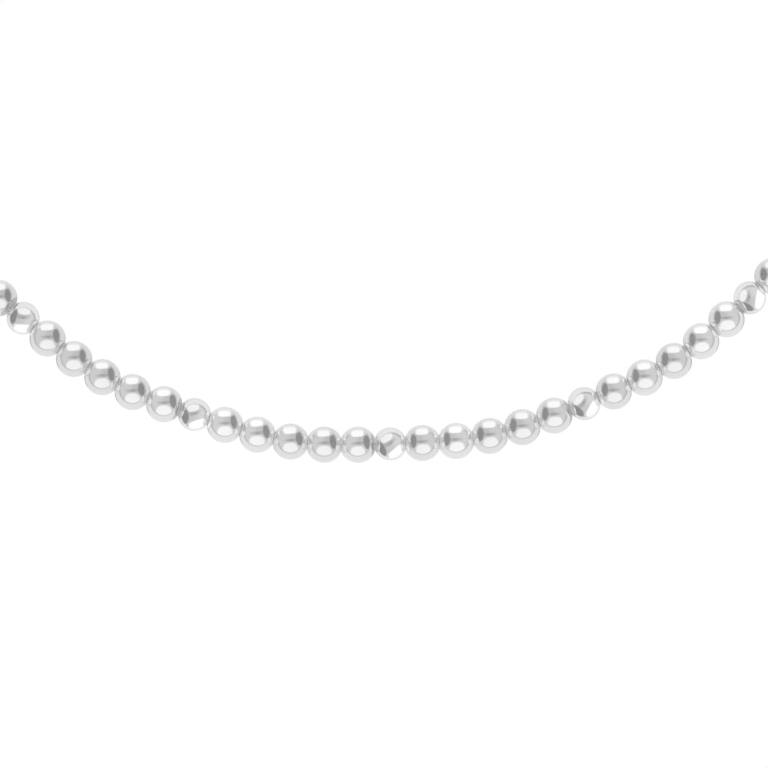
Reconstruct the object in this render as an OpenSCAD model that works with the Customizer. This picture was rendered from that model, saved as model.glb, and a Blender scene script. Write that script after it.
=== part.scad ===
/* [Beads] */
// Diameter of a pearl bead
pearl_d = 5; // [4.8:0.1:5.4]
// Diameter of the smaller accent bead that follows every fifth pearl
accent_d = 4.56; // [4.3:0.02:4.8]
// Depth that each drilled end of a bead is trimmed flat by
end_trim = 0.29; // [0.2:0.01:0.35]
// Diameter of the hole through a bead
hole_d = 1; // [0.9:0.1:1.2]
// Clear gap between the flat ends of two neighbours
bead_gap = 0.24; // [0.22:0.02:0.4]

/* [Strand] */
// Half of the width that the front of the strand opens to
half_w = 69.3; // [66:0.1:72]
// Height of the nape above the lowest bead
rise = 122.8; // [116:0.2:128]
// Share by which the strand is wider at the nape than at the front
spread = 0.2; // [0.1:0.02:0.24]
// Height of the slight wave that an accent bead gives the strand
ripple = 0.25; // [0:0.05:0.25]

/* [Thread] */
// Diameter of the thread
thread_d = 0.4; // [0.3:0.05:0.5]

/* [Clasp] */
// Length of the barrel clasp
clasp_len = 11; // [9:0.5:14]
// Diameter of the barrel
clasp_d = 5; // [4.5:0.25:6]
// Diameter of the barrel's narrowed ends
clasp_end_d = 3.4; // [3:0.2:4]
// Length of each narrowed end
clasp_taper = 2; // [1.5:0.25:2.5]
// Depth of the hole for the thread in each end of the clasp
clasp_hole_depth = 3.4; // [3:0.1:4]

/* [Hidden] */

// Beads in one repeat: five pearls and one accent bead
repeat = 6;
// Beads on each side of the accent bead at the front centre
side_beads = 9 * repeat - 1;
accent_count = 17;
middle_accent = (accent_count + 1) / 2;

pearl_len = pearl_d - 2 * end_trim;
accent_len = accent_d - 2 * end_trim;
pearl_pitch = pearl_len + bead_gap;
accent_pitch = (pearl_len + accent_len) / 2 + bead_gap;
repeat_len = (repeat - 2) * pearl_pitch + 2 * accent_pitch;
// Length of the strand from the front centre to the end face of the clasp
half_len = bead_station(side_beads) + pearl_len / 2 + bead_gap;

thread_sides = 8;
thread_steps = 78;
thread_end_clearance = 0.2;
// Direction that the strand never runs along, which keeps the thread's rings untwisted
thread_reference = [0, 0.74, -0.67];

path_steps = 240;
bead_facets = 64;
overcut = 1;

// Distance along the strand from the front centre to the middle of a bead
function is_accent(i) = i % repeat == 0;
function bead_station(i) =
    let (n = abs(i), passed = floor(n / repeat), rest = n % repeat)
    sign(i) * (passed * repeat_len + (rest == 0 ? 0 : accent_pitch + (rest - 1) * pearl_pitch));

// Seen from the front the strand is half of an ellipse on each side, from the lowest bead at angle
// 0 to the nape at angle 180. climb is the share of the height reached, and the strand leans back
// as climb squared, so the front hangs in one upright plane.
function climb(angle) = (1 - cos(angle)) / 2;
function on_loop(angle, depth) =
    let (back = pow(climb(angle), 2))
    [
        half_w * sin(angle) * (1 + spread * back) + clasp_len / 2 * back,
        clasp_d / 2 - depth * (1 - back),
        -rise * (1 - climb(angle))
    ];

// Table of rows [distance along the strand, angle]
function station_table(depth) =
    let (step = 180 / path_steps, points = [for (k = [0 : path_steps]) on_loop(k * step, depth)])
    [
        for (
            k = 0, run = 0;
            k <= path_steps;
            k = k + 1, run = run + (k <= path_steps ? norm(points[k] - points[k - 1]) : 0)
        )
        [run, k * step]
    ];
function loop_len(depth) = station_table(depth)[path_steps][0];

// The depth from front to back at which the strand just closes at the clasp, by halving a range
function closing_depth(low, high, tries = 24) =
    let (middle = (low + high) / 2)
    tries == 0 ? middle
    : loop_len(middle) < half_len ? closing_depth(middle, high, tries - 1)
    : closing_depth(low, middle, tries - 1);

loop_depth = closing_depth(20, 200);
stations = station_table(loop_depth);

function unit(v) = v / norm(v);
function mirrored(p) = [-p.x, p.y, p.z];

// Point of the strand at a distance from the front centre, positive to the right
function strand_right(station) =
    let (
        angle = lookup(station, stations),
        ahead = on_loop(angle + 0.5, loop_depth) - on_loop(angle - 0.5, loop_depth),
        inward = unit([-ahead.z, 0, ahead.x]),
        wave = ripple * (1 - climb(angle)) * cos(360 * station / repeat_len)
    )
    on_loop(angle, loop_depth) + wave * inward;
function strand(station) = station < 0 ? mirrored(strand_right(-station)) : strand_right(station);
function strand_direction(station) =
    unit(strand(station + pearl_pitch / 2) - strand(station - pearl_pitch / 2));

// A drilled bead on the Z axis with its two ends trimmed flat
module drilled_bead(diameter) {
    trimmed_len = diameter - 2 * end_trim;
    difference() {
        intersection() {
            sphere(d = diameter, $fn = bead_facets);
            cylinder(d = diameter + overcut, h = trimmed_len, center = true, $fn = bead_facets);
        }
        cylinder(d = hole_d, h = diameter + overcut, center = true, $fn = bead_facets);
    }
}

// Places its child at bead i with its Z axis along the strand
module on_strand(i) {
    station = bead_station(i);
    along = strand_direction(station);
    translate(strand(station)) rotate([0, acos(along.z), atan2(along.y, along.x)]) children();
}

module pearls_left() {
    color("whitesmoke")
    for (i = [-side_beads : -1]) {
        if (!is_accent(i)) on_strand(i) drilled_bead(pearl_d);
    }
}

module pearls_right() {
    color("whitesmoke")
    for (i = [1 : side_beads]) {
        if (!is_accent(i)) on_strand(i) drilled_bead(pearl_d);
    }
}

module accent_bead(number) {
    color("white") on_strand((number - middle_accent) * repeat) drilled_bead(accent_d);
}

// The thread as one tube of flat sides, straight where it enters the clasp
module thread() {
    inside = clasp_hole_depth - thread_end_clearance;
    spacing = 2 * half_len / thread_steps;
    middle_points = [for (k = [0 : thread_steps]) strand(k * spacing - half_len)];
    first = middle_points[0];
    last = middle_points[thread_steps];
    points = concat([first + [inside, 0, 0]], middle_points, [last - [inside, 0, 0]]);
    count = len(points);
    corners = [
        for (k = [0 : count - 1])
        let (
            along = unit(points[min(k + 1, count - 1)] - points[max(k - 1, 0)]),
            side = unit(cross(along, thread_reference)),
            up = cross(side, along)
        )
        for (m = [0 : thread_sides - 1])
        let (turn = 360 * m / thread_sides)
        points[k] + thread_d / 2 * (cos(turn) * side + sin(turn) * up)
    ];
    walls = [
        for (k = [0 : count - 2])
        for (m = [0 : thread_sides - 1])
        let (a = k * thread_sides + m, b = k * thread_sides + (m + 1) % thread_sides)
        [a, a + thread_sides, b + thread_sides, b]
    ];
    start_cap = [for (m = [0 : thread_sides - 1]) m];
    end_cap = [for (m = [0 : thread_sides - 1]) count * thread_sides - 1 - m];
    color("gainsboro") polyhedron(corners, concat(walls, [start_cap, end_cap]), convexity = 10);
}

// A plain barrel along X at the nape, with a blind hole in each end for the thread
module clasp() {
    straight = clasp_len - 2 * clasp_taper;
    color("silver")
    translate([0, clasp_d / 2, 0]) rotate([0, 90, 0]) difference() {
        union() {
            cylinder(d = clasp_d, h = straight, center = true, $fn = bead_facets);
            for (end = [0, 180]) {
                rotate([end, 0, 0]) translate([0, 0, straight / 2])
                    cylinder(d1 = clasp_d, d2 = clasp_end_d, h = clasp_taper, $fn = bead_facets);
            }
        }
        for (end = [0, 180]) {
            rotate([end, 0, 0]) translate([0, 0, clasp_len / 2 - clasp_hole_depth])
                cylinder(d = hole_d, h = clasp_hole_depth + overcut, $fn = bead_facets);
        }
    }
}

pearls_left();
pearls_right();
accent_bead(1);  // accent_bead_01
accent_bead(2);  // accent_bead_02
accent_bead(3);  // accent_bead_03
accent_bead(4);  // accent_bead_04
accent_bead(5);  // accent_bead_05
accent_bead(6);  // accent_bead_06
accent_bead(7);  // accent_bead_07
accent_bead(8);  // accent_bead_08
accent_bead(9);  // accent_bead_09
accent_bead(10);  // accent_bead_10
accent_bead(11);  // accent_bead_11
accent_bead(12);  // accent_bead_12
accent_bead(13);  // accent_bead_13
accent_bead(14);  // accent_bead_14
accent_bead(15);  // accent_bead_15
accent_bead(16);  // accent_bead_16
accent_bead(17);  // accent_bead_17
thread();
clasp();
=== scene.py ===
"""Looks of a faux pearl necklace: five silvery pearls, one smaller accent bead, and so on round a thread.

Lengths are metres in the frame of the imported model, with +Z up and the front of the strand towards -Y.
"""

import logging
import math
from dataclasses import dataclass, field
from enum import Enum

import bpy
import numpy as np
from mathutils import Matrix


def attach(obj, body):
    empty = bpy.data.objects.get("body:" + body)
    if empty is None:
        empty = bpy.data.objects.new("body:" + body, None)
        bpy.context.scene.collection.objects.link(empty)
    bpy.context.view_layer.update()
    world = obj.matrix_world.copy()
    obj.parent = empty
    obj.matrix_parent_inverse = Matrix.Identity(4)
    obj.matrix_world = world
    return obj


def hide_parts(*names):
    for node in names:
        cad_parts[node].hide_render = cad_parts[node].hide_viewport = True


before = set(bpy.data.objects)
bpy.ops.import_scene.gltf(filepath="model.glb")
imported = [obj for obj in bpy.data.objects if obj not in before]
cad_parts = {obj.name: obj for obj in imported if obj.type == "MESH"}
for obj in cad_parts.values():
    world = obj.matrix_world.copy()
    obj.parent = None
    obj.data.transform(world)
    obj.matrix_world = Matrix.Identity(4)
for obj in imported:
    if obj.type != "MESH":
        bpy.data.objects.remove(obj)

MM = 0.001
# A direction that the strand never runs along, which keeps the circles round it untwisted
NEVER_ALONG = np.array([0.0, 0.74, -0.67])
log = logging.getLogger("necklace")


class Half(Enum):
    """The two halves of the strand, as the front view shows them."""

    LEFT = -1
    RIGHT = 1


def unit(vectors: np.ndarray) -> np.ndarray:
    """Scales vectors along the last axis to length 1.

    Args:
        vectors: Array whose last axis holds x, y and z.

    Returns:
        The array of unit vectors.
    """
    return vectors / np.linalg.norm(vectors, axis=-1, keepdims=True)


def even_turns(columns: int) -> np.ndarray:
    """Gives angles in even steps round a full turn.

    Args:
        columns: How many angles.

    Returns:
        The angles in radians, from 0 to one step before a full turn.
    """
    return np.linspace(0.0, 2 * math.pi, columns, endpoint=False)


def spokes(directions: np.ndarray, columns: int) -> np.ndarray:
    """Gives a circle of unit vectors square to each direction.

    side is the unit vector of NEVER_ALONG x direction, up is direction x side, and the spoke at
    each even turn is cos(turn) * side + sin(turn) * up.

    Args:
        directions: Unit vectors along the last axis.
        columns: How many spokes a circle has.

    Returns:
        The spokes, with one more axis, for the columns, before the last.
    """
    side = unit(np.cross(NEVER_ALONG, directions))
    up = np.cross(directions, side)
    turn = even_turns(columns)[:, None]
    return np.cos(turn) * side[..., None, :] + np.sin(turn) * up[..., None, :]


def turned_upright(
    radii: np.ndarray, heights: np.ndarray, columns: int, centre: tuple[float, float, float]
) -> np.ndarray:
    """Turns a profile round the upright axis through a centre.

    The place in row j is centre + (radius j * cos turn, radius j * sin turn, height j).

    Args:
        radii: Radius of each row.
        heights: Height of each row above the centre.
        columns: How many places a row has.
        centre: The centre.

    Returns:
        Array (1, rows, columns, 3) of places.
    """
    turn = even_turns(columns)
    x, y = radii[:, None] * np.cos(turn), radii[:, None] * np.sin(turn)
    z = np.broadcast_to(heights[:, None], x.shape)
    return np.stack([x, y, z], -1)[None] + np.array(centre)


def grid_mesh(name: str, points: np.ndarray, closed_loop: bool, ends: bool = False) -> bpy.types.Object:
    """Makes one smooth mesh from several point grids of the same size.

    Quad (j, k) of a grid joins rows j and j + 1 and columns k and k + 1. Columns always close on
    themselves, and rows do so where the loop is closed.

    Args:
        name: Name of the new object.
        points: Array (copies, rows, columns, 3) of places.
        closed_loop: Whether the last row joins the first one.
        ends: Whether an open tube's two ends are closed by one face each.

    Returns:
        The new object, at the origin, linked to the scene.
    """
    copies, rows, columns, _ = points.shape
    row = np.arange(rows if closed_loop else rows - 1)
    column = np.arange(columns)
    j, k = np.meshgrid(row, column, indexing="ij")
    next_j, next_k = (j + 1) % rows, (k + 1) % columns
    quads = np.stack(
        [j * columns + k, j * columns + next_k, next_j * columns + next_k, next_j * columns + k], -1
    ).reshape(-1, 4)
    start = np.arange(copies)[:, None, None] * rows * columns
    faces = (quads[None] + start).reshape(-1, 4).tolist()
    if ends:
        faces += [column[::-1].tolist(), ((rows - 1) * columns + column).tolist()]
    mesh = bpy.data.meshes.new(name)
    mesh.from_pydata(points.reshape(-1, 3), [], faces)
    mesh.validate()
    mesh.shade_smooth()
    made = bpy.data.objects.new(name, mesh)
    bpy.context.scene.collection.objects.link(made)
    return made


def add_attribute(piece: bpy.types.Object, name: str, values: np.ndarray) -> None:
    """Stores one number for each vertex of a piece.

    Args:
        piece: The mesh object.
        name: Name that the material reads the numbers by.
        values: One number for each vertex.
    """
    layer = piece.data.attributes.new(name, "FLOAT", "POINT")
    layer.data.foreach_set("value", values.astype(np.float32).ravel())


def dress(piece: bpy.types.Object, node: str, finish: bpy.types.Material) -> None:
    """Puts the finish on a piece and has it stand for its CAD node.

    Args:
        piece: The new piece.
        node: Name of the CAD node.
        finish: The material.
    """
    piece.data.materials.append(finish)
    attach(piece, "root")
    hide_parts(node)
    log.info("%s: %d faces for %s", piece.name, len(piece.data.polygons), node)


class NodeGraph:
    """Builds shader nodes by short calls, most of which return the socket that the node gives."""

    def __init__(self, tree: bpy.types.NodeTree) -> None:
        """Clears the tree and keeps it.

        Args:
            tree: Node tree of a material or a world.
        """
        self.tree = tree
        tree.nodes.clear()

    def add(self, kind: str, inputs: dict[int | str, object], **settings: object) -> bpy.types.Node:
        """Adds a node, and sets each input to a value or links another node's socket to it.

        Args:
            kind: Blender's name of the node's type.
            inputs: A number, a tuple or an output socket for each input, by its place or name.
            **settings: Properties to set on the node.

        Returns:
            The new node.
        """
        node = self.tree.nodes.new(kind)
        for key, value in settings.items():
            setattr(node, key, value)
        for key, value in inputs.items():
            if isinstance(value, bpy.types.NodeSocket):
                self.tree.links.new(value, node.inputs[key])
            else:
                node.inputs[key].default_value = value
        return node

    def math(self, operation: str, *values: object) -> bpy.types.NodeSocket:
        """Adds a Math node.

        Args:
            operation: The operation's name, such as MULTIPLY.
            *values: Numbers or sockets, in the node's order.

        Returns:
            The result socket.
        """
        return self.add("ShaderNodeMath", dict(enumerate(values)), operation=operation).outputs[0]

    def vector_math(self, operation: str, *values: object) -> bpy.types.Node:
        """Adds a Vector Math node.

        Args:
            operation: The operation's name, such as SUBTRACT.
            *values: Vectors or sockets, in the node's order.

        Returns:
            The node, because its result is a vector or a number.
        """
        return self.add("ShaderNodeVectorMath", dict(enumerate(values)), operation=operation)

    def mix(self, share: object, first: object, second: object) -> bpy.types.NodeSocket:
        """Blends two numbers: first where share is 0 and second where it is 1.

        Args:
            share: Number or socket from 0 to 1.
            first: Number or socket.
            second: Number or socket.

        Returns:
            The blended number's socket.
        """
        inputs = {0: share, 2: first, 3: second}
        return self.add("ShaderNodeMix", inputs, data_type="FLOAT", clamp_factor=True).outputs[0]

    def fade(
        self, value: object, start: float, end: float, before: float, after: float
    ) -> bpy.types.NodeSocket:
        """Goes smoothly from one number to another while a value crosses a band.

        Args:
            value: Socket of the value.
            start: Where the band begins.
            end: Where the band ends.
            before: The number up to the start.
            after: The number from the end on.

        Returns:
            The result socket.
        """
        band = {"Value": value, "From Min": start, "From Max": end, "To Min": before, "To Max": after}
        node = self.add("ShaderNodeMapRange", band, interpolation_type="SMOOTHSTEP", clamp=True)
        return node.outputs["Result"]

    def place(self) -> bpy.types.NodeSocket:
        """Gives the place on the piece, in object coordinates."""
        return self.add("ShaderNodeTexCoord", {}).outputs["Object"]

    def noise(
        self, scale: float, detail: float = 2.0, roughness: float = 0.5, place: object = None
    ) -> bpy.types.NodeSocket:
        """Adds noise.

        Args:
            scale: Waves per unit of the place, which is a metre in object coordinates.
            detail: How many finer layers are added.
            roughness: Strength of the finer layers.
            place: Socket of the place to read, or None for object coordinates.

        Returns:
            The socket of the noise, near 0.5 on average.
        """
        vector = self.place() if place is None else place
        inputs = {"Vector": vector, "Scale": scale, "Detail": detail, "Roughness": roughness}
        return self.add("ShaderNodeTexNoise", inputs, noise_dimensions="3D").outputs["Fac"]

    def attribute(self, name: str) -> bpy.types.NodeSocket:
        """Reads a number stored on the mesh.

        Args:
            name: The attribute's name.

        Returns:
            The socket that gives it.
        """
        return self.add("ShaderNodeAttribute", {}, attribute_name=name).outputs["Fac"]

    def grey(self, value: object) -> bpy.types.NodeSocket:
        """Turns a number into a neutral colour.

        Args:
            value: Number or socket.

        Returns:
            The colour socket.
        """
        return self.add("ShaderNodeCombineColor", {0: value, 1: value, 2: value}).outputs[0]

    def bump(
        self, height: object, depth: float, strength: float = 1.0, under: object = None
    ) -> bpy.types.NodeSocket:
        """Adds a Bump node.

        Args:
            height: Socket of the relief's height, as a share of its depth.
            depth: Depth of the relief in metres.
            strength: Share of the relief that shows.
            under: Normal of a relief that this one lies on, or None.

        Returns:
            The socket of the bent normal.
        """
        inputs = {"Height": height, "Distance": depth, "Strength": strength}
        if under is not None:
            inputs["Normal"] = under
        return self.add("ShaderNodeBump", inputs).outputs[0]

    def finish(self, shader: bpy.types.Node, output: str = "ShaderNodeOutputMaterial") -> None:
        """Links a shader to the tree's output.

        Args:
            shader: The shader node.
            output: Blender's name of the output node's type.
        """
        self.add(output, {0: shader.outputs[0]})


def new_material(name: str) -> tuple[bpy.types.Material, NodeGraph]:
    """Makes an empty material.

    Args:
        name: The material's name.

    Returns:
        The material and its graph.
    """
    made = bpy.data.materials.new(name)
    made.use_nodes = True
    return made, NodeGraph(made.node_tree)


@dataclass(frozen=True)
class PearlLacquer:
    """Silvery pearl lacquer over a smooth core, under a thin clear coat.

    The colour is tone + mottling * (slow noise - 0.5), times each bead's own tone. At the ends,
    where the lacquer thins out over the rim and round the drilled hole, the dull pale core shows
    through. On a pearl's end beside an accent bead, a dull grey band is painted shade, standing in
    for the dark reflection strip there. The bump is a slight unevenness as wide as half a bead,
    which makes each bead's reflections a little different, under a very low, fine orange peel.
    Scales are waves per metre.
    """

    name: str
    tone: float
    mottling: float
    metallic: float
    roughness: float
    mottling_scale: float = 420.0
    smear: float = 0.03
    smear_scale: float = 900.0
    core_tone: float = 0.95
    core_metallic: float = 0.1
    core_roughness: float = 0.35
    # Painted shade: the dull grey band on a pearl's end beside an accent bead, standing in for a dark
    # reflection strip
    painted_shade_tone: float = 0.62
    shade_band_roughness: float = 0.33
    coat: float = 0.25
    coat_roughness: float = 0.04
    unevenness: float = 0.12 * MM
    unevenness_scale: float = 240.0
    peel: float = 0.02 * MM
    peel_strength: float = 0.04
    peel_scale: float = 1600.0

    def material(self) -> bpy.types.Material:
        """Builds the lacquer's material.

        Returns:
            The material.
        """
        made, graph = new_material(self.name)
        bare, painted_shade = graph.attribute("end_wear"), graph.attribute("end_painted_shade")
        cloud = graph.math("SUBTRACT", graph.noise(self.mottling_scale, detail=3.0), 0.5)
        tone = graph.math("MULTIPLY_ADD", cloud, self.mottling, self.tone)
        tone = graph.math("MULTIPLY", tone, graph.attribute("bead_tone"))
        # Painted shade: the colour turns dull grey on a pearl's end beside an accent bead, in place of a
        # dark reflection
        tone = graph.mix(bare, graph.mix(painted_shade, tone, self.painted_shade_tone), self.core_tone)
        smear = graph.math("SUBTRACT", graph.noise(self.smear_scale), 0.5)
        rough = graph.math("MULTIPLY_ADD", smear, self.smear, self.roughness)
        rough = graph.mix(painted_shade, rough, self.shade_band_roughness)
        uneven = graph.bump(graph.noise(self.unevenness_scale, detail=1.0), self.unevenness)
        pores = graph.noise(self.peel_scale, detail=1.0)
        inputs = {
            "Base Color": graph.grey(tone),
            "Roughness": graph.mix(bare, rough, self.core_roughness),
            "Metallic": graph.mix(bare, self.metallic, self.core_metallic),
            "Coat Weight": self.coat,
            "Coat Roughness": self.coat_roughness,
            "Normal": graph.bump(pores, self.peel, self.peel_strength, uneven),
        }
        graph.finish(graph.add("ShaderNodeBsdfPrincipled", inputs))
        return made


@dataclass(frozen=True)
class PlatedMetal:
    """Silver-coloured plating on the clasp, with a faint brushed grain round the barrel.

    The grain is noise stretched round the barrel, because it is thin along X and long across it,
    and it raises the roughness from its lowest value. Scales are waves per metre.
    """

    name: str = "clasp_plating"
    tone: float = 0.83
    cloud: float = 0.08
    cloud_scale: float = 500.0
    lowest_roughness: float = 0.14
    grain_roughness: float = 0.16
    grain_scale: tuple[float, float, float] = (9000.0, 260.0, 260.0)
    grain_depth: float = 0.02 * MM
    grain_strength: float = 0.12

    def material(self) -> bpy.types.Material:
        """Builds the plating's material.

        Returns:
            The material.
        """
        made, graph = new_material(self.name)
        stretch = graph.add("ShaderNodeMapping", {"Vector": graph.place(), "Scale": self.grain_scale})
        grain = graph.noise(1.0, place=stretch.outputs[0])
        cloud = graph.noise(self.cloud_scale, detail=3.0)
        tone = graph.math("MULTIPLY_ADD", cloud, self.cloud, self.tone - self.cloud / 2)
        inputs = {
            "Base Color": graph.grey(tone),
            "Roughness": graph.math("MULTIPLY_ADD", grain, self.grain_roughness, self.lowest_roughness),
            "Metallic": 1.0,
            "Normal": graph.bump(grain, self.grain_depth, self.grain_strength),
        }
        graph.finish(graph.add("ShaderNodeBsdfPrincipled", inputs))
        return made


@dataclass(frozen=True)
class SpunThread:
    """Undyed spun beading thread: matt, fine fibres, and painted shade in the grooves between plies."""

    name: str = "spun_thread"
    tone: float = 0.82
    fibre_tone: float = 0.16
    groove_shade: float = 0.35
    lowest_roughness: float = 0.65
    fibre_roughness: float = 0.2
    sheen: float = 0.3
    fibre_scale: float = 9000.0
    fibre_depth: float = 0.03 * MM
    fibre_strength: float = 0.4

    def material(self) -> bpy.types.Material:
        """Builds the thread's material.

        Returns:
            The material.
        """
        made, graph = new_material(self.name)
        fibre = graph.noise(self.fibre_scale, detail=3.0, roughness=0.7)
        tone = graph.math("MULTIPLY_ADD", fibre, self.fibre_tone, self.tone - self.fibre_tone / 2)
        # Painted shade: the colour is darker in the grooves between plies, where shade falls
        shade = graph.math("MULTIPLY_ADD", graph.attribute("ply_groove"), -self.groove_shade, 1.0)
        inputs = {
            "Base Color": graph.grey(graph.math("MULTIPLY", tone, shade)),
            "Roughness": graph.math("MULTIPLY_ADD", fibre, self.fibre_roughness, self.lowest_roughness),
            "Sheen Weight": self.sheen,
            "Normal": graph.bump(fibre, self.fibre_depth, self.fibre_strength),
        }
        graph.finish(graph.add("ShaderNodeBsdfPrincipled", inputs))
        return made


@dataclass
class Strand:
    """The line that the thread follows, from the clasp round the front and back to the clasp.

    Seen from the front each half is half of an ellipse from the lowest bead, at angle 0, to the
    nape, at angle 180. With climb = (1 - cos angle) / 2 and back = climb squared:
    x = half width * sin(angle) * (1 + spread * back) + half the clasp * back,
    y = half the clasp's diameter - depth * (1 - back), z = -rise * (1 - climb).
    A wave as long as one repeat of beads moves it inwards by ripple * (1 - climb) * cos(turn).
    The depth at which the strand just closes is found by halving the range from shallowest to
    deepest.
    """

    pearl_diameter: float = 5.0 * MM
    accent_diameter: float = 4.56 * MM
    end_trim: float = 0.29 * MM
    solid_gap: float = 0.24 * MM
    half_width: float = 69.3 * MM
    rise: float = 122.8 * MM
    spread: float = 0.2
    ripple: float = 0.25 * MM
    clasp_length: float = 11.0 * MM
    clasp_diameter: float = 5.0 * MM
    repeat: int = 6
    repeats_each_side: int = 9
    samples: int = 961
    shallowest: float = 20 * MM
    deepest: float = 200 * MM
    halvings: int = 30
    probe_angle: float = math.radians(0.5)
    pearl_pitch: float = field(init=False)
    accent_pitch: float = field(init=False)
    repeat_length: float = field(init=False)
    side_beads: int = field(init=False)
    half_length: float = field(init=False)
    angles: np.ndarray = field(init=False)
    lengths: np.ndarray = field(init=False)
    depth: float = field(init=False)

    def __post_init__(self) -> None:
        """Works out the pitches and the depth at which the strand closes at the clasp."""
        pearl_length = self.pearl_diameter - 2 * self.end_trim
        accent_length = self.accent_diameter - 2 * self.end_trim
        self.pearl_pitch = pearl_length + self.solid_gap
        self.accent_pitch = (pearl_length + accent_length) / 2 + self.solid_gap
        self.repeat_length = (self.repeat - 2) * self.pearl_pitch + 2 * self.accent_pitch
        self.side_beads = self.repeats_each_side * self.repeat - 1
        last_bead = self.stations(np.array([self.side_beads]))[0]
        self.half_length = last_bead + pearl_length / 2 + self.solid_gap
        self.angles = np.linspace(0.0, math.pi, self.samples)
        low, high = self.shallowest, self.deepest
        for _ in range(self.halvings):
            self.depth = (low + high) / 2
            steps = np.linalg.norm(np.diff(self._loop(self.angles), axis=0), axis=1)
            self.lengths = np.concatenate([[0.0], np.cumsum(steps)])
            if self.lengths[-1] < self.half_length:
                low = self.depth
            else:
                high = self.depth

    def _loop(self, angles: np.ndarray) -> np.ndarray:
        """Gives the right half without its wave.

        Args:
            angles: Angles in radians.

        Returns:
            Array of places, one row for each angle.
        """
        climb = (1 - np.cos(angles)) / 2
        back = climb**2
        x = self.half_width * np.sin(angles) * (1 + self.spread * back) + self.clasp_length / 2 * back
        y = self.clasp_diameter / 2 - self.depth * (1 - back)
        return np.stack([x, y, -self.rise * (1 - climb)], -1)

    def stations(self, beads: np.ndarray) -> np.ndarray:
        """Gives each bead's distance along the strand from the front centre.

        Args:
            beads: Bead numbers, 0 at the front centre and positive to the right.

        Returns:
            Signed distances, one for each bead.
        """
        count = np.abs(beads)
        passed, rest = count // self.repeat, count % self.repeat
        beyond = np.where(rest == 0, 0.0, self.accent_pitch + (rest - 1) * self.pearl_pitch)
        return np.sign(beads) * (passed * self.repeat_length + beyond)

    def points(self, stations: np.ndarray) -> np.ndarray:
        """Gives the places on the waved strand.

        Args:
            stations: Signed distances from the front centre.

        Returns:
            Array of places, one row for each distance.
        """
        away = np.abs(stations)
        angle = np.interp(away, self.lengths, self.angles)
        ahead = self._loop(angle + self.probe_angle) - self._loop(angle - self.probe_angle)
        inward = unit(np.stack([-ahead[:, 2], np.zeros_like(away), ahead[:, 0]], -1))
        climb = (1 - np.cos(angle)) / 2
        wave = self.ripple * (1 - climb) * np.cos(2 * math.pi * away / self.repeat_length)
        place = self._loop(angle) + wave[:, None] * inward
        place[:, 0] *= np.where(stations < 0, -1.0, 1.0)
        return place

    def directions(self, stations: np.ndarray) -> np.ndarray:
        """Gives the direction in which a bead's hole runs at each distance.

        Args:
            stations: Signed distances from the front centre.

        Returns:
            Array of unit vectors that point to the right-hand end of the strand.
        """
        half_pitch = self.pearl_pitch / 2
        return unit(self.points(stations + half_pitch) - self.points(stations - half_pitch))

    def ends(self, beads: np.ndarray) -> tuple[np.ndarray, np.ndarray]:
        """Tells how a bead's two ends meet its neighbours.

        At either end of the strand the clasp is the neighbour, and the bead's own axis is used.

        Args:
            beads: Bead numbers.

        Returns:
            Array (beads, 2, 3) of unit vectors, from the bead before and to the bead after, and
            array (beads, 2) of half of what each straight distance adds to the nominal pitch.
        """
        numbers = np.arange(-self.side_beads, self.side_beads + 1)
        places = self.stations(numbers)
        steps = np.diff(self.points(places), axis=0)
        extra = (np.linalg.norm(steps, axis=1) - np.diff(places)) / 2
        extra = np.concatenate([[0.0], extra, [0.0]])
        own = self.directions(places[[0, -1]])
        facing = np.concatenate([own[:1], unit(steps), own[1:]])
        before = beads + self.side_beads
        both = np.stack([before, before + 1], 1)
        return facing[both], extra[both]


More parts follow.
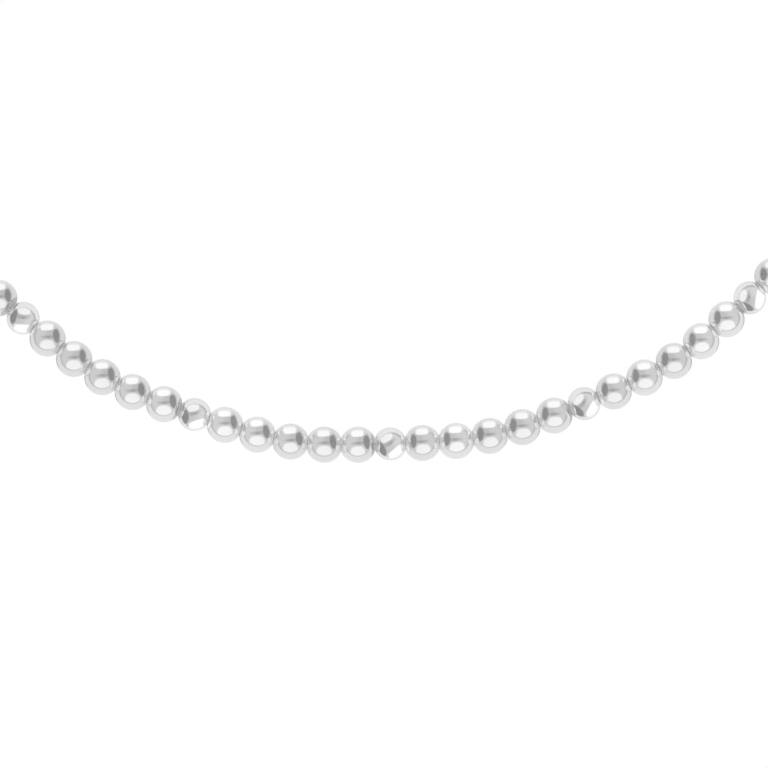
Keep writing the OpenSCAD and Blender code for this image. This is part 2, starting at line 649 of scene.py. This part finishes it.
@dataclass
class BeadRun:
    """A run of drilled beads of one kind, as one smooth mesh.

    Each bead is a profile of radius and height turned round its hole. Outside it is a circle
    (R cos a, R sin a), whose height is held under a shallow dish, half height - dish * (1 - (r / rim)^2),
    by the smooth minimum -k ln(exp(-a / k) + exp(-b / k)). Towards the hole the dish sinks by
    dimple * exp(-((r - hole radius) / width)^2), and the profile closes down the wall of the hole.
    The outside rows stop at the share outside_end of the rim's angle, and the end's rows start at
    the share inside_start of it. Each row is a circle square to a direction that swings from the
    neighbour before to the neighbour after as the height rises, by a little more than one half to
    each side, so the flat ends of two neighbours face each other evenly.
    """

    name: str
    strand: Strand
    beads: np.ndarray
    diameter: float
    half_height: float
    hole_diameter: float = 1.0 * MM
    dish: float = 0.04 * MM
    edge_round: float = 0.01 * MM
    rim_wear: float = 0.13 * MM
    wide_rim_wear: float = 0.22 * MM
    hole_wear: float = 0.22 * MM
    # Painted shade on a pearl's end beside an accent bead: where its band starts, as a share of the
    # radius, and how wide its edge is
    shade_band_start: float = 0.70
    shade_band_width: float = 0.05
    dimple: float = 0.05 * MM
    dimple_width: float = 0.12 * MM
    outside_end: float = 0.985
    inside_start: float = 1.02
    swing: float = 0.51
    columns: int = 48
    outside_rows: int = 13
    end_rows: int = 6

    def profile(self) -> tuple[np.ndarray, np.ndarray]:
        """Works out the closed profile of one bead.

        Returns:
            Radius and height of each row, from the lower hole rim up the outside and down the hole.
        """
        radius, hole = self.diameter / 2, self.hole_diameter / 2
        rim_angle = math.asin(self.half_height / radius)
        outside = np.linspace(0.0, rim_angle * self.outside_end, self.outside_rows)
        inner_radii = np.linspace(radius * math.cos(rim_angle * self.inside_start), hole, self.end_rows)
        upper_radii = np.concatenate([radius * np.cos(outside), inner_radii])
        sphere = np.sqrt(np.maximum(radius**2 - upper_radii**2, 0.0))
        rim = radius * math.cos(rim_angle)
        face = self.half_height - self.dish * np.maximum(1 - (upper_radii / rim) ** 2, 0.0)
        soft = self.edge_round
        low = np.minimum(sphere, face)
        held = low - soft * np.log(np.exp((low - sphere) / soft) + np.exp((low - face) / soft))
        held[0] = 0.0
        sunk = held - self.dimple * np.exp(-(((upper_radii - hole) / self.dimple_width) ** 2))
        radii = np.concatenate([upper_radii[::-1], upper_radii[1:], [hole]])
        heights = np.concatenate([-sunk[::-1], sunk[1:], [0.0]])
        return radii, heights

    def wear(self, radii: np.ndarray, heights: np.ndarray) -> tuple[np.ndarray, np.ndarray]:
        """Works out how worn each row of each bead is, and where painted shade lies on it.

        The core's share is the larger of exp(-((r - hole radius) / hole wear)^2) and, with the depth
        below the end, exp(-(depth / rim wear)^2). Where a pearl's right end meets an accent bead,
        painted shade covers that end from the band's starting share of its radius upwards, standing
        in for a dark reflection strip, and the accent bead's left end is pale further in, by
        exp(-(depth / wide rim wear)^4).

        Args:
            radii: Radius of each row.
            heights: Height of each row.

        Returns:
            Arrays (beads, rows) of the core's share and of the painted shade's share, each from 0 to 1.
        """
        depth = self.half_height - np.abs(heights)
        hole = np.exp(-(((radii - self.hole_diameter / 2) / self.hole_wear) ** 2))
        rim = np.exp(-((depth / self.rim_wear) ** 2))
        wide_rim = np.exp(-((depth / self.wide_rim_wear) ** 4))
        is_accent = (self.beads % self.strand.repeat == 0)[:, None]
        before_accent = ((self.beads + 1) % self.strand.repeat == 0)[:, None]
        rim = np.where(is_accent & (heights < 0), wide_rim, rim)
        # Painted shade: a band on a pearl's right end beside an accent bead, standing in for a dark
        # reflection strip
        share = np.clip((heights / (self.diameter / 2) - self.shade_band_start) / self.shade_band_width, 0.0, 1.0)
        painted_shade = before_accent * share * share * (3 - 2 * share)
        return np.maximum(hole, rim), painted_shade

    def build(self, tones: np.ndarray) -> bpy.types.Object:
        """Builds the mesh with its tone and wear attributes.

        Args:
            tones: Brightness of each bead, near 1.

        Returns:
            The finished piece, without its material.
        """
        radii, heights = self.profile()
        centres = self.strand.points(self.strand.stations(self.beads))
        ends, extra = self.strand.ends(self.beads)
        share = np.clip(0.5 + self.swing * heights / self.half_height, 0.0, 1.0)[None, :, None]
        along = unit((1 - share) * ends[:, :1] + share * ends[:, 1:])
        stretch = 1 + np.where(heights[None] < 0, extra[:, :1], extra[:, 1:]) / self.half_height
        points = (
            centres[:, None, None]
            + radii[None, :, None, None] * spokes(along, self.columns)
            + (heights[None] * stretch)[..., None, None] * along[:, :, None]
        )
        piece = grid_mesh(self.name, points, closed_loop=True)
        worn, painted_shade = self.wear(radii, heights)
        # The second attribute carries the painted shade beside the accent beads
        for name, values in (("end_wear", worn), ("end_painted_shade", painted_shade), ("bead_tone", tones[:, None])):
            add_attribute(piece, name, np.broadcast_to(values[:, :, None], points.shape[:3]))
        return piece


@dataclass
class PearlStrand:
    """All the beads: two runs of pearls and the accent beads between them."""

    strand: Strand
    visual_gap: float = 0.012 * MM
    tone_spread: float = 0.035
    seed: int = 11
    pearl_finish: PearlLacquer = PearlLacquer(
        "pearl_lacquer", tone=0.937, mottling=0.035, metallic=0.65, roughness=0.085
    )
    accent_finish: PearlLacquer = PearlLacquer(
        "accent_lacquer", tone=0.96, mottling=0.02, metallic=0.68, roughness=0.06
    )

    def run(self, name: str, beads: np.ndarray, diameter: float) -> BeadRun:
        """Gives a run of beads that are so high that neighbours leave only the visual gap.

        Args:
            name: Name of the piece.
            beads: Bead numbers.
            diameter: The beads' diameter.

        Returns:
            The run, not yet built.
        """
        closer = (self.strand.solid_gap - self.visual_gap) / 2
        return BeadRun(name, self.strand, beads, diameter, diameter / 2 - self.strand.end_trim + closer)

    def pearls(self, half: Half, finish: bpy.types.Material) -> bpy.types.Object:
        """Builds the pearls of one half.

        Args:
            half: Which half.
            finish: The pearl material.

        Returns:
            The piece.
        """
        numbers = np.arange(1, self.strand.side_beads + 1)
        numbers = np.sort(half.value * numbers[numbers % self.strand.repeat != 0])
        random = np.random.default_rng(self.seed + half.value)
        tones = 1.0 + self.tone_spread * random.uniform(-1.0, 1.0, len(numbers))
        side = half.name.lower()
        piece = self.run(f"pearl_beads_{side}", numbers, self.strand.pearl_diameter).build(tones)
        dress(piece, f"pearls_{side}", finish)
        return piece

    def accents(self, finish: bpy.types.Material) -> list[bpy.types.Object]:
        """Builds each accent bead as a piece of its own.

        Args:
            finish: The accent material.

        Returns:
            The pieces, from the left end to the right end.
        """
        middle = self.strand.repeats_each_side
        pieces = []
        for number in range(1, 2 * middle):
            bead = np.array([(number - middle) * self.strand.repeat])
            run = self.run(f"accent_pearl_{number:02d}", bead, self.strand.accent_diameter)
            piece = run.build(np.ones(1))
            dress(piece, f"accent_bead_{number:02d}", finish)
            pieces.append(piece)
        return pieces


@dataclass
class BeadingThread:
    """Plies twisted together, swept along the strand and straight into the clasp.

    Round the line the radius is r * (1 - groove * (1 - |cos(plies / 2 * (a - twist))|)), so a lobe
    for each ply turns with the distance run.
    """

    strand: Strand
    radius: float = 0.195 * MM
    plies: int = 3
    groove: float = 0.35
    lay: float = 1.6 * MM
    into_clasp: float = 3.2 * MM
    ring_spacing: float = 0.2 * MM
    columns: int = 12

    def build(self) -> bpy.types.Object:
        """Builds and dresses the thread.

        Returns:
            The piece.
        """
        half = self.strand.half_length
        line = self.strand.points(np.linspace(-half, half, int(2 * half / self.ring_spacing)))
        rings = round(self.into_clasp / self.ring_spacing)
        straight = np.linspace(self.into_clasp, self.ring_spacing, rings)[:, None]
        straight = straight * np.array([[1.0, 0.0, 0.0]])
        line = np.concatenate([line[0] + straight, line, line[-1] - straight[::-1]])
        run = np.concatenate([[0.0], np.cumsum(np.linalg.norm(np.diff(line, axis=0), axis=1))])
        twist = 2 * math.pi * run[:, None] / self.lay
        lobe = np.abs(np.cos(self.plies / 2 * (even_turns(self.columns)[None] - twist)))
        radii = self.radius * (1 - self.groove * (1 - lobe))
        along = unit(np.gradient(line, axis=0))
        points = line[:, None] + radii[..., None] * spokes(along, self.columns)
        piece = grid_mesh("beading_thread", points[None], closed_loop=False, ends=True)
        add_attribute(piece, "ply_groove", 1 - lobe)
        dress(piece, "thread", SpunThread().material())
        return piece


@dataclass
class BarrelClasp:
    """The plain barrel at the nape, turned round its X axis from a short profile.

    The profile is the CAD barrel with softened corners, a fine turned groove on each side of the
    middle and a blind hole in each end. Its place in row j is
    (x j, half the diameter + radius j * cos turn, radius j * sin turn).
    """

    length: float = 11.0 * MM
    diameter: float = 5.0 * MM
    end_diameter: float = 3.4 * MM
    taper: float = 2.0 * MM
    hole_diameter: float = 1.0 * MM
    hole_depth: float = 3.4 * MM
    hole_chamfer: float = 0.06 * MM
    corner: float = 0.12 * MM
    groove_depth: float = 0.12 * MM
    groove_place: float = 2.6 * MM
    groove_width: float = 0.3 * MM
    groove_chamfer: float = 0.02 * MM
    sharp_angle: float = math.radians(35)
    columns: int = 72

    def half_profile(self) -> np.ndarray:
        """Lists the turned shape from the middle of the barrel to the bottom of one hole.

        Returns:
            Array of (place along X, radius).
        """
        half, straight = self.length / 2, self.length / 2 - self.taper
        wide, narrow, hole = self.diameter / 2, self.end_diameter / 2, self.hole_diameter / 2
        groove, lip = self.groove_place, self.groove_width / 2
        corner, chamfer = self.corner, self.groove_chamfer
        lean = corner * (wide - narrow) / self.taper
        return np.array(
            [
                (0.0, wide),
                (groove - lip - chamfer, wide),
                (groove - lip, wide - chamfer),
                (groove - lip / 2, wide - self.groove_depth),
                (groove + lip / 2, wide - self.groove_depth),
                (groove + lip, wide - chamfer),
                (groove + lip + chamfer, wide),
                (straight - corner, wide),
                (straight, wide - 0.25 * lean),
                (straight + corner, wide - lean),
                (half - corner, narrow + lean),
                (half - 0.3 * corner, narrow - 0.1 * corner),
                (half, narrow - corner),
                (half, hole + self.hole_chamfer),
                (half - self.hole_chamfer, hole),
                (half - self.hole_depth, hole),
            ]
        )

    def build(self) -> bpy.types.Object:
        """Builds and dresses the clasp.

        Returns:
            The piece.
        """
        right = self.half_profile()
        left = right[:0:-1] * np.array([-1.0, 1.0])
        profile = np.concatenate([left, right])
        turn = even_turns(self.columns)
        x = np.broadcast_to(profile[:, 0, None], (len(profile), self.columns))
        y = self.diameter / 2 + profile[:, 1, None] * np.cos(turn)
        z = profile[:, 1, None] * np.sin(turn)
        points = np.stack([x, y, z], -1)
        piece = grid_mesh("barrel_clasp", points[None], closed_loop=False, ends=True)
        piece.data.set_sharp_from_angle(angle=self.sharp_angle)
        dress(piece, "clasp", PlatedMetal().material())
        return piece


@dataclass(frozen=True)
class SoftShape:
    """A soft-edged shape of light on the inside of a light tent.

    Its place is given as on a mirror ball seen from the front, or from behind, u to the right and
    v up, with 1 at the ball's edge. distance = (|du / width|^p + |dv / height|^p)^(1 / p), and the
    shape fades from full to nothing over a band as wide as fade round distance 1. lean shifts the
    shape sideways as it rises and slant lifts it towards the right. taper makes it narrower
    upwards. cut is a round hole that the shape shows through: its u and v, radius and soft edge.
    """

    u: float
    v: float
    width: float
    height: float
    level: float
    power: float = 2.0
    fade: float = 0.1
    lean: float = 0.0
    slant: float = 0.0
    taper: float = 0.0
    behind: bool = False
    cut: tuple[float, float, float, float] | None = None


@dataclass(frozen=True)
class TentPattern:
    """What the inside of a light tent shows: one even level with soft shapes laid over it in order."""

    level: float
    shapes: tuple[SoftShape, ...]


# A shape's first numbers are u, v, width, height and level
PEARL_TENT = TentPattern(
    0.81,
    (
        SoftShape(-0.01, 0.09, 0.735, 0.74, 0.42, fade=0.05),
        SoftShape(0.02, 0.07, 0.67, 0.69, 0.63, fade=0.07),
        SoftShape(-0.02, 0.66, 0.58, 0.14, 0.76, fade=0.7),
        SoftShape(0.25, 0.24, 0.30, 0.24, 0.52, fade=0.9),
        SoftShape(0.06, 0.09, 0.38, 0.08, 0.34, fade=0.9),
        SoftShape(0.04, 0.07, 0.08, 0.05, 0.22, fade=0.9),
        SoftShape(
            -0.035, -0.36, 0.41, 0.29, 1.08, power=3.0, fade=0.30, taper=0.18, cut=(0.0, 0.07, 0.67, 0.08)
        ),
        SoftShape(
            0.59, 0.115, 0.275, 0.39, 0.13, power=2.4, fade=0.24, lean=-0.08, cut=(0.0, 0.09, 0.67, 0.08)
        ),
        SoftShape(0.00, 0.69, 0.35, 0.245, 1.22, power=4.0, fade=0.28, cut=(0.0, 0.0, 0.83, 0.22)),
        SoftShape(0.02, 0.00, 0.34, 0.08, 0.60, fade=0.90, behind=True),
        SoftShape(0.00, 0.17, 0.17, 0.08, 0.90, power=4.0, fade=0.40, behind=True),
        SoftShape(0.00, -0.18, 0.20, 0.07, 0.84, power=3.0, fade=0.40, behind=True),
        SoftShape(0.27, 0.00, 0.07, 0.17, 0.42, fade=0.20, behind=True),
    ),
)
ACCENT_TENT = TentPattern(
    0.87,
    (
        SoftShape(-0.04, 0.11, 0.76, 0.76, 0.38, fade=0.05),
        SoftShape(0.00, 0.10, 0.69, 0.70, 0.68, fade=0.07),
        SoftShape(0.20, 0.14, 0.34, 0.26, 0.57, fade=0.9),
        SoftShape(0.04, -0.15, 0.42, 0.17, 0.45, fade=0.9),
        SoftShape(0.06, -0.05, 0.30, 0.08, 0.34, fade=0.9),
        SoftShape(-0.02, -0.05, 0.09, 0.06, 0.26, fade=0.9),
        SoftShape(
            -0.02, -0.43, 0.38, 0.22, 1.03, power=3.0, fade=0.30, taper=0.10, cut=(0.0, 0.07, 0.70, 0.08)
        ),
        SoftShape(
            -0.12, 0.63, 0.63, 0.26, 1.24, power=4.0, fade=0.30, slant=0.07, cut=(-0.02, 0.0, 0.87, 0.14)
        ),
        SoftShape(
            0.67, -0.04, 0.29, 0.47, 0.14, power=2.6, fade=0.32, lean=0.10, cut=(0.0, 0.03, 0.79, 0.06)
        ),
        SoftShape(0.00, 0.00, 0.34, 0.34, 0.74, fade=0.60, behind=True),
        SoftShape(0.00, 0.16, 0.16, 0.08, 0.95, power=4.0, fade=0.40, behind=True),
    ),
)


@dataclass
class LightTent:
    """A see-through shell of light round the necklace that lights only its own pieces.

    Direction d of the shell maps to the mirror ball seen from the front by w = sqrt((1 - dy) / 2),
    u = dx / (2 w) and v = dz / (2 w), and to the one seen from behind with the signs of dx and dy
    changed. Both are turned by the tent's angle. The shell adds its light to what shines through it.
    It is a sphere of rows from pole to pole, and a small flat face closes each pole.
    """

    name: str
    pattern: TentPattern
    turn: float
    mirrored: bool
    radius: float
    centre: tuple[float, float, float]
    rows: int = 24
    columns: int = 48
    pole_angle: float = math.radians(0.5)
    least: float = 1e-6

    def material(self) -> bpy.types.Material:
        """Builds the shell's glow.

        Returns:
            The material.
        """
        made, graph = new_material(self.name)
        made.cycles.emission_sampling = "NONE"
        from_centre = graph.vector_math("SUBTRACT", graph.place(), self.centre).outputs[0]
        length_one = graph.vector_math("NORMALIZE", from_centre).outputs[0]
        direction = graph.add("ShaderNodeSeparateXYZ", {0: length_one})
        balls = [self._ball(graph, direction, behind) for behind in (False, True)]
        level: object = self.pattern.level
        for shape in self.pattern.shapes:
            level = graph.mix(self._cover(graph, shape, *balls[shape.behind]), level, shape.level)
        glow = graph.add("ShaderNodeEmission", {"Strength": level})
        clear = graph.add("ShaderNodeBsdfTransparent", {})
        graph.finish(graph.add("ShaderNodeAddShader", {0: glow.outputs[0], 1: clear.outputs[0]}))
        return made

    def _ball(
        self, graph: NodeGraph, direction: bpy.types.Node, behind: bool
    ) -> tuple[bpy.types.NodeSocket, bpy.types.NodeSocket]:
        """Finds where a mirror ball shows the shell's direction.

        Args:
            graph: The material's graph.
            direction: Node that gives the direction's x, y and z.
            behind: Whether the ball is seen from behind.

        Returns:
            Sockets of u and v, turned by the tent's angle.
        """
        half_way = graph.math("MULTIPLY_ADD", direction.outputs[1], 0.5 if behind else -0.5, 0.5)
        w = graph.math("SQRT", graph.math("MAXIMUM", half_way, self.least))
        u0 = graph.math("DIVIDE", direction.outputs[0], graph.math("MULTIPLY", w, -2.0 if behind else 2.0))
        v0 = graph.math("DIVIDE", direction.outputs[2], graph.math("MULTIPLY", w, 2.0))
        cos, sin = math.cos(self.turn), math.sin(self.turn)
        u = graph.math("SUBTRACT", graph.math("MULTIPLY", u0, cos), graph.math("MULTIPLY", v0, sin))
        v = graph.math("ADD", graph.math("MULTIPLY", u0, sin), graph.math("MULTIPLY", v0, cos))
        if self.mirrored:
            u = graph.math("MULTIPLY", u, -1.0)
        return u, v

    def _cover(
        self, graph: NodeGraph, shape: SoftShape, u: bpy.types.NodeSocket, v: bpy.types.NodeSocket
    ) -> bpy.types.NodeSocket:
        """Gives how much of a shape covers a place on the mirror ball.

        Args:
            graph: The material's graph.
            shape: The shape.
            u: Place to the right.
            v: Place upwards.

        Returns:
            Socket from 0 outside to 1 inside.
        """
        from_u, from_v = graph.math("SUBTRACT", u, shape.u), graph.math("SUBTRACT", v, shape.v)
        if shape.lean:
            from_u = graph.math("MULTIPLY_ADD", from_v, -shape.lean, from_u)
        if shape.slant:
            from_v = graph.math("MULTIPLY_ADD", from_u, -shape.slant, from_v)
        width: object = shape.width
        if shape.taper:
            narrowing = -shape.width * shape.taper / shape.height
            width = graph.math("MULTIPLY_ADD", from_v, narrowing, shape.width)
        ratios = [graph.math("DIVIDE", from_u, width), graph.math("DIVIDE", from_v, shape.height)]
        powers = [graph.math("POWER", graph.math("ABSOLUTE", ratio), shape.power) for ratio in ratios]
        distance = graph.math("POWER", graph.math("ADD", *powers), 1.0 / shape.power)
        inside = graph.fade(distance, 1.0 - shape.fade / 2, 1.0 + shape.fade / 2, 1.0, 0.0)
        if shape.cut:
            cut_u, cut_v, radius, fade = shape.cut
            away = [graph.math("SUBTRACT", u, cut_u), graph.math("SUBTRACT", v, cut_v)]
            squares = [graph.math("MULTIPLY", part, part) for part in away]
            reach = graph.math("SQRT", graph.math("ADD", *squares))
            hole = graph.fade(reach, radius - fade / 2, radius + fade / 2, 1.0, 0.0)
            inside = graph.math("MULTIPLY", inside, hole)
        return inside

    def build(self, lit: list[bpy.types.Object]) -> bpy.types.Object:
        """Builds the shell and ties its light to its pieces.

        Args:
            lit: The pieces that it lights.

        Returns:
            The shell.
        """
        polar = np.linspace(self.pole_angle, math.pi - self.pole_angle, self.rows)
        radii, heights = self.radius * np.sin(polar), self.radius * np.cos(polar)
        points = turned_upright(radii, heights, self.columns, self.centre)
        shell = grid_mesh(self.name, points, closed_loop=False, ends=True)
        shell.data.materials.append(self.material())
        shell.visible_camera = False
        shell.visible_shadow = False
        receivers = bpy.data.collections.new(self.name)
        for piece in lit:
            receivers.objects.link(piece)
        shell.light_linking.receiver_collection = receivers
        log.info("%s lights %d pieces", shell.name, len(lit))
        return shell


@dataclass
class Studio:
    """Pale floor, white surroundings, the light tents and the camera.

    The camera looks level along +Y at the front of the strand, rolled by as much as the strand
    hangs askew, and its long lens keeps the beads round at the sides. Each tent is larger than the
    one before it by tent_step.
    """

    strand: Strand
    photo_width: float = 105.858 * MM
    sensor: float = 36.0
    lens: float = 500.0
    clip: tuple[float, float] = (0.05, 100.0)
    aim_right: float = -0.63 * MM
    aim_above_lowest: float = 8.53 * MM
    roll: float = math.radians(1.616)
    floor_below: float = 300.0 * MM
    floor_tone: float = 0.55
    near_floor: float = 5.0
    far_floor: float = 6.5
    floor_rings: tuple[float, ...] = (40.0, 8.0, 2.0, 0.5, 0.0001)
    floor_columns: int = 64
    floor_grain: float = 0.01
    floor_grain_scale: float = 3.0
    tent_radius: float = 3.0
    tent_step: float = 0.02
    tent_share_down: float = 0.85
    accent_turn: float = math.radians(148.0)
    own_tents_each_side: int = 2

    def front(self) -> float:
        """Gives the Y of the upright plane in which the front of the strand hangs."""
        return self.strand.clasp_diameter / 2 - self.strand.depth

    def camera(self) -> None:
        """Sets the camera so that its picture is as wide as the photo at the front of the strand."""
        data = bpy.data.cameras.new("camera")
        data.sensor_width, data.lens = self.sensor, self.lens
        data.clip_start, data.clip_end = self.clip
        made = bpy.data.objects.new("camera", data)
        bpy.context.scene.collection.objects.link(made)
        away = self.lens * self.photo_width / self.sensor
        cos, sin = math.cos(self.roll), math.sin(self.roll)
        height = -self.strand.rise + self.aim_above_lowest
        made.matrix_world = Matrix(
            (
                (cos, sin, 0.0, self.aim_right),
                (0.0, 0.0, -1.0, self.front() - away),
                (-sin, cos, 0.0, height),
                (0.0, 0.0, 0.0, 1.0),
            )
        )
        bpy.context.scene.camera = made

    def surroundings(self) -> None:
        """Shows plain white to the camera, and leaves the lighting to the tents."""
        world = bpy.data.worlds.new("white_room")
        world.use_nodes = True
        graph = NodeGraph(world.node_tree)
        seen = graph.add("ShaderNodeLightPath", {}).outputs["Is Camera Ray"]
        plain = graph.add("ShaderNodeBackground", {"Color": (1.0, 1.0, 1.0, 1.0), "Strength": seen})
        graph.finish(plain, "ShaderNodeOutputWorld")
        bpy.context.scene.world = world

    def floor(self) -> None:
        """Lays a wide pale floor that is light grey under the strand and fades to white far from it.

        The share of white grows smoothly with the distance from the middle, from none at near_floor
        to all at far_floor, where the photo's view first meets the floor.
        """
        radii = np.array(self.floor_rings)
        middle = (0.0, 0.0, -self.strand.rise - self.floor_below)
        points = turned_upright(radii, np.zeros_like(radii), self.floor_columns, middle)
        ground = grid_mesh("pale_floor", points, closed_loop=False)
        made, graph = new_material("pale_floor")
        distance = graph.vector_math("LENGTH", graph.place()).outputs["Value"]
        share = graph.fade(distance, self.near_floor, self.far_floor, 0.0, 1.0)
        grain = graph.math("MULTIPLY", graph.noise(self.floor_grain_scale), self.floor_grain)
        level = graph.math("ADD", graph.mix(share, self.floor_tone, 1.0), grain)
        graph.finish(graph.add("ShaderNodeEmission", {"Strength": level}))
        ground.data.materials.append(made)
        ground.visible_glossy = False
        ground.visible_diffuse = False

    def tents(
        self, left: list[bpy.types.Object], right: list[bpy.types.Object], accents: list[bpy.types.Object]
    ) -> None:
        """Puts up the light tents.

        The middle accent bead and the next ones on each side have a tent each, turned with the run
        of the strand there. The accent beads beyond them share one tent on each side.

        Args:
            left: Pieces lit as the left half.
            right: Pieces lit as the right half.
            accents: The accent beads in order.
        """
        centre = (0.0, self.front(), -self.strand.rise * self.tent_share_down)
        radius = self.tent_radius
        LightTent("tent_left", PEARL_TENT, -self.roll, False, radius, centre).build(left)
        radius += self.tent_step
        LightTent("tent_right", PEARL_TENT, -self.roll, True, radius, centre).build(right)
        middle = len(accents) // 2
        first, last = middle - self.own_tents_each_side, middle + self.own_tents_each_side
        groups = [accents[:first], *([piece] for piece in accents[first : last + 1]), accents[last + 1 :]]
        begin = 0
        for order, group in enumerate(groups, start=1):
            bead = np.array([(begin + len(group) // 2 - middle) * self.strand.repeat])
            begin += len(group)
            run = self.strand.directions(self.strand.stations(bead))[0]
            turn = self.accent_turn - math.atan2(run[2], run[0])
            radius += self.tent_step
            LightTent(f"tent_accent_{order}", ACCENT_TENT, turn, False, radius, centre).build(group)

    def rendering(self) -> None:
        """Keeps the render's greys as computed, and lets light pass the shells and the seams."""
        scene = bpy.context.scene
        scene.view_settings.view_transform = "Standard"
        scene.view_settings.look = "None"
        scene.cycles.transparent_max_bounces = 64
        scene.cycles.max_bounces = 24
        scene.cycles.glossy_bounces = 16
        scene.cycles.diffuse_bounces = 8


def main() -> None:
    """Builds the necklace and its studio."""
    logging.basicConfig(level=logging.INFO, format="%(name)s: %(message)s")
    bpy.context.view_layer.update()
    strand = Strand()
    log.info("depth %.2f mm, half length %.2f mm", strand.depth / MM, strand.half_length / MM)
    beads = PearlStrand(strand)
    pearl_finish, accent_finish = beads.pearl_finish.material(), beads.accent_finish.material()
    left = beads.pearls(Half.LEFT, pearl_finish)
    right = beads.pearls(Half.RIGHT, pearl_finish)
    accents = beads.accents(accent_finish)
    thread = BeadingThread(strand).build()
    clasp = BarrelClasp().build()
    studio = Studio(strand)
    studio.camera()
    studio.surroundings()
    studio.floor()
    studio.tents([left, thread, clasp], [right], accents)
    studio.rendering()


if __name__ == "__main__":
    main()
